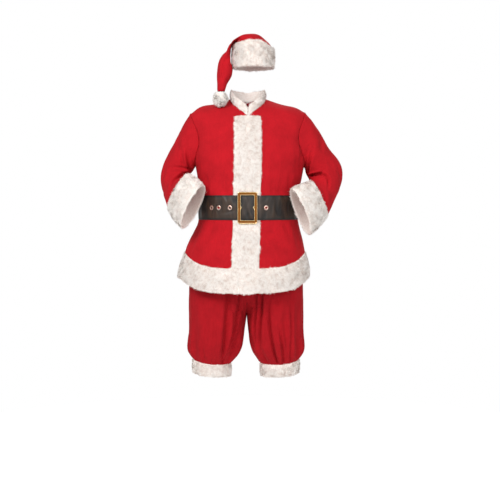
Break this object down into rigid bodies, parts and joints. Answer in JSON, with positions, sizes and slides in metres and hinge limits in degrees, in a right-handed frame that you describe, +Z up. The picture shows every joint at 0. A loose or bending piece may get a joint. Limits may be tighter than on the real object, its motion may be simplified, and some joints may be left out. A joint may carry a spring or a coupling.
{
  "type": "santa suit",
  "caption": "Worn Santa suit: red velour jacket and knee trousers with white fur trim, black belt with a gold buckle, and a floppy hat with a pompom.",
  "frame": {"origin": "centre of the neck's base at shoulder height, where the wearer's shoulders hold the suit up", "axes": "+Z up, the front faces -Y, +X towards the wearer's left"},
  "size_m": [0.7936, 0.4386, 1.466],
  "materials": {
    "red_velour": "matt red velour with a short even nap",
    "white_fur": "warm white short-pile fake fur",
    "elastic": "black woven elastic",
    "black_leatherette": "black leatherette with a soft sheen",
    "antique_gold": "antique gold with bright worn edges"
  },
  "bodies": {
    "root": {"jacket_front_right": "red_velour", "jacket_front_left": "red_velour", "jacket_back": "red_velour", "sleeve_right": "red_velour", "sleeve_left": "red_velour", "trouser_leg_right": "red_velour", "trouser_leg_left": "red_velour", "hat_crown": "red_velour", "collar_fur": "white_fur", "placket_fur": "white_fur", "hem_fur": "white_fur", "cuff_fur_right": "white_fur", "cuff_fur_left": "white_fur", "knee_fur_right": "white_fur", "knee_fur_left": "white_fur", "hat_brim_fur": "white_fur", "hat_pompom": "white_fur", "trouser_waistband": "elastic", "belt_strap": "black_leatherette", "belt_buckle": "antique_gold", "belt_eyelet_1": "antique_gold", "belt_eyelet_2": "antique_gold", "belt_eyelet_3": "antique_gold", "belt_eyelet_4": "antique_gold"}
  },
  "joints": []
}
